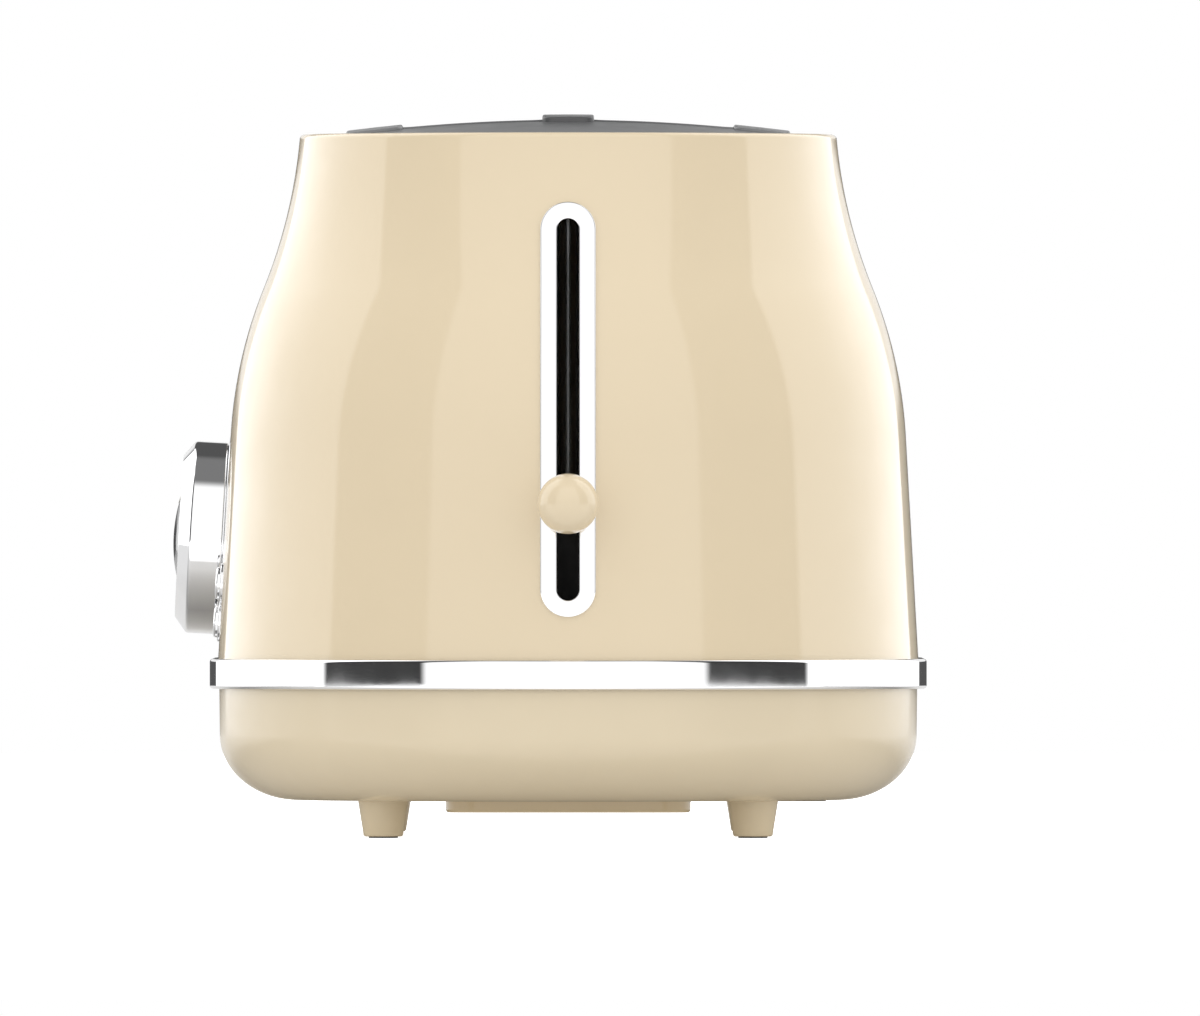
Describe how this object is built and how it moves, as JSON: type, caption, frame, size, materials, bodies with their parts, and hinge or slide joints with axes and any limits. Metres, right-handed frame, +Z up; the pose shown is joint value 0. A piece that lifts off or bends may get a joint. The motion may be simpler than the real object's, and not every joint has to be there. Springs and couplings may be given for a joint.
{
  "type": "pop-up toaster",
  "caption": "Pop-up toaster with bread slots on top, a side lever on a ball, a browning dial with push-buttons, a chrome band, moulded base and crumb tray.",
  "frame": {"origin": "on the surface it stands on, under the middle of the whole toaster's box", "axes": "+X along the toaster towards the lever, +Z up, -Y towards the dial and buttons"},
  "size_m": [0.3146, 0.2092, 0.2],
  "materials": {
    "shell_paint": "gloss enamel",
    "cream_plastic": "satin",
    "trim_chrome": "polished",
    "top_enamel": "satin enamel",
    "dial_gloss": "polished",
    "black_plastic": "fine texture",
    "black_rubber": "matt",
    "sheet_steel": "zinc plated",
    "reflector_steel": "bright, faintly heat-tinted",
    "guard_wire": "nickel plated",
    "hard_steel": "zinc plated",
    "mica_sheet": "flaky sheen",
    "heater_ribbon": "oxidised",
    "brass_parts": "bright",
    "circuit_board": "solder mask",
    "white_nylon": "moulded"
  },
  "bodies": {
    "housing": {"outer_shell": "shell_paint", "base_shell": "cream_plastic", "service_cover": "cream_plastic", "feet": "cream_plastic", "trim_band": "trim_chrome", "slot_trim": "trim_chrome", "dial_ring": "trim_chrome", "button_bezels": "trim_chrome", "top_cover": "top_enamel", "slot_bars": "top_enamel", "control_carrier": "black_plastic", "tact_switches": "black_plastic", "power_switch": "black_plastic", "foot_pads": "black_rubber", "cord_grommet": "black_rubber", "chassis_plate": "sheet_steel", "lever_end_plate": "sheet_steel", "far_end_plate": "sheet_steel", "chamber_top": "sheet_steel", "front_reflector": "reflector_steel", "rear_reflector": "reflector_steel", "cover_screws": "hard_steel", "base_screws": "hard_steel", "frame_screws": "hard_steel", "guide_rod": "hard_steel", "magnet_core": "hard_steel", "carriage_spring": "hard_steel", "dial_encoder": "hard_steel", "front_mica": "mica_sheet", "centre_mica": "mica_sheet", "rear_mica": "mica_sheet", "front_heater": "heater_ribbon", "centre_heater": "heater_ribbon", "rear_heater": "heater_ribbon", "magnet_coil": "brass_parts", "switch_contacts": "brass_parts", "control_board": "circuit_board", "terminal_block": "white_nylon"},
    "carriage": {"slider": "black_plastic", "slider_bush": "brass_parts", "carriage_yoke": "sheet_steel", "front_bread_rack": "sheet_steel", "rear_bread_rack": "sheet_steel", "lever_arm": "sheet_steel", "lever_ball": "shell_paint", "latch_plate": "sheet_steel"},
    "front_outer_guard": {"front_outer_guard": "guard_wire"},
    "front_inner_guard": {"front_inner_guard": "guard_wire"},
    "rear_inner_guard": {"rear_inner_guard": "guard_wire"},
    "rear_outer_guard": {"rear_outer_guard": "guard_wire"},
    "dial": {"dial_knob": "trim_chrome", "dial_face": "dial_gloss", "dial_shaft": "hard_steel"},
    "cancel_button": {"cancel_button": "trim_chrome"},
    "reheat_button": {"reheat_button": "trim_chrome"},
    "defrost_button": {"defrost_button": "trim_chrome"},
    "bagel_button": {"bagel_button": "trim_chrome"},
    "crumb_tray": {"crumb_tray": "sheet_steel", "tray_front": "cream_plastic"}
  },
  "joints": [
    {"name": "carriage_slide", "type": "slide", "parent": "housing", "child": "carriage", "axis": [0, 0, 1], "range_m": [-0.021, 0.072], "deforming": ["carriage_spring"]},
    {"name": "front_outer_guard_hinge", "type": "hinge", "parent": "housing", "child": "front_outer_guard", "pos_m": [-0.008, -0.0378, 0.05], "axis": [1, 0, 0], "range_deg": [-0.9, 3.1]},
    {"name": "front_inner_guard_hinge", "type": "hinge", "parent": "housing", "child": "front_inner_guard", "pos_m": [-0.008, -0.0048, 0.05], "axis": [1, 0, 0], "range_deg": [-3.1, 0.9]},
    {"name": "rear_inner_guard_hinge", "type": "hinge", "parent": "housing", "child": "rear_inner_guard", "pos_m": [-0.008, 0.0148, 0.05], "axis": [1, 0, 0], "range_deg": [-0.9, 3.1]},
    {"name": "rear_outer_guard_hinge", "type": "hinge", "parent": "housing", "child": "rear_outer_guard", "pos_m": [-0.008, 0.0478, 0.05], "axis": [1, 0, 0], "range_deg": [-3.1, 0.9]},
    {"name": "dial_turn", "type": "hinge", "parent": "housing", "child": "dial", "pos_m": [-0.008, -0.09013, 0.0825], "axis": [0, -0.9984, 0.0558], "range_deg": [-135, 135]},
    {"name": "cancel_button_press", "type": "slide", "parent": "housing", "child": "cancel_button", "axis": [0, 0.9984, -0.0558], "range_m": [0, 0.0012], "stiffness_N_per_m": 1500},
    {"name": "reheat_button_press", "type": "slide", "parent": "housing", "child": "reheat_button", "axis": [0, 0.9984, -0.0558], "range_m": [0, 0.0012], "stiffness_N_per_m": 1500},
    {"name": "defrost_button_press", "type": "slide", "parent": "housing", "child": "defrost_button", "axis": [0, 0.9984, -0.0558], "range_m": [0, 0.0012], "stiffness_N_per_m": 1500},
    {"name": "bagel_button_press", "type": "slide", "parent": "housing", "child": "bagel_button", "axis": [0, 0.9984, -0.0558], "range_m": [0, 0.0012], "stiffness_N_per_m": 1500},
    {"name": "crumb_tray_slide", "type": "slide", "parent": "housing", "child": "crumb_tray", "axis": [-1, 0, 0], "range_m": [0, 0.19]}
  ],
  "couplings": [
    {"joint": "front_outer_guard_hinge", "follows": "carriage_slide", "rad_per_m": 0.72722},
    {"joint": "front_inner_guard_hinge", "follows": "carriage_slide", "rad_per_m": -0.72722},
    {"joint": "rear_inner_guard_hinge", "follows": "carriage_slide", "rad_per_m": 0.72722},
    {"joint": "rear_outer_guard_hinge", "follows": "carriage_slide", "rad_per_m": -0.72722}
  ]
}
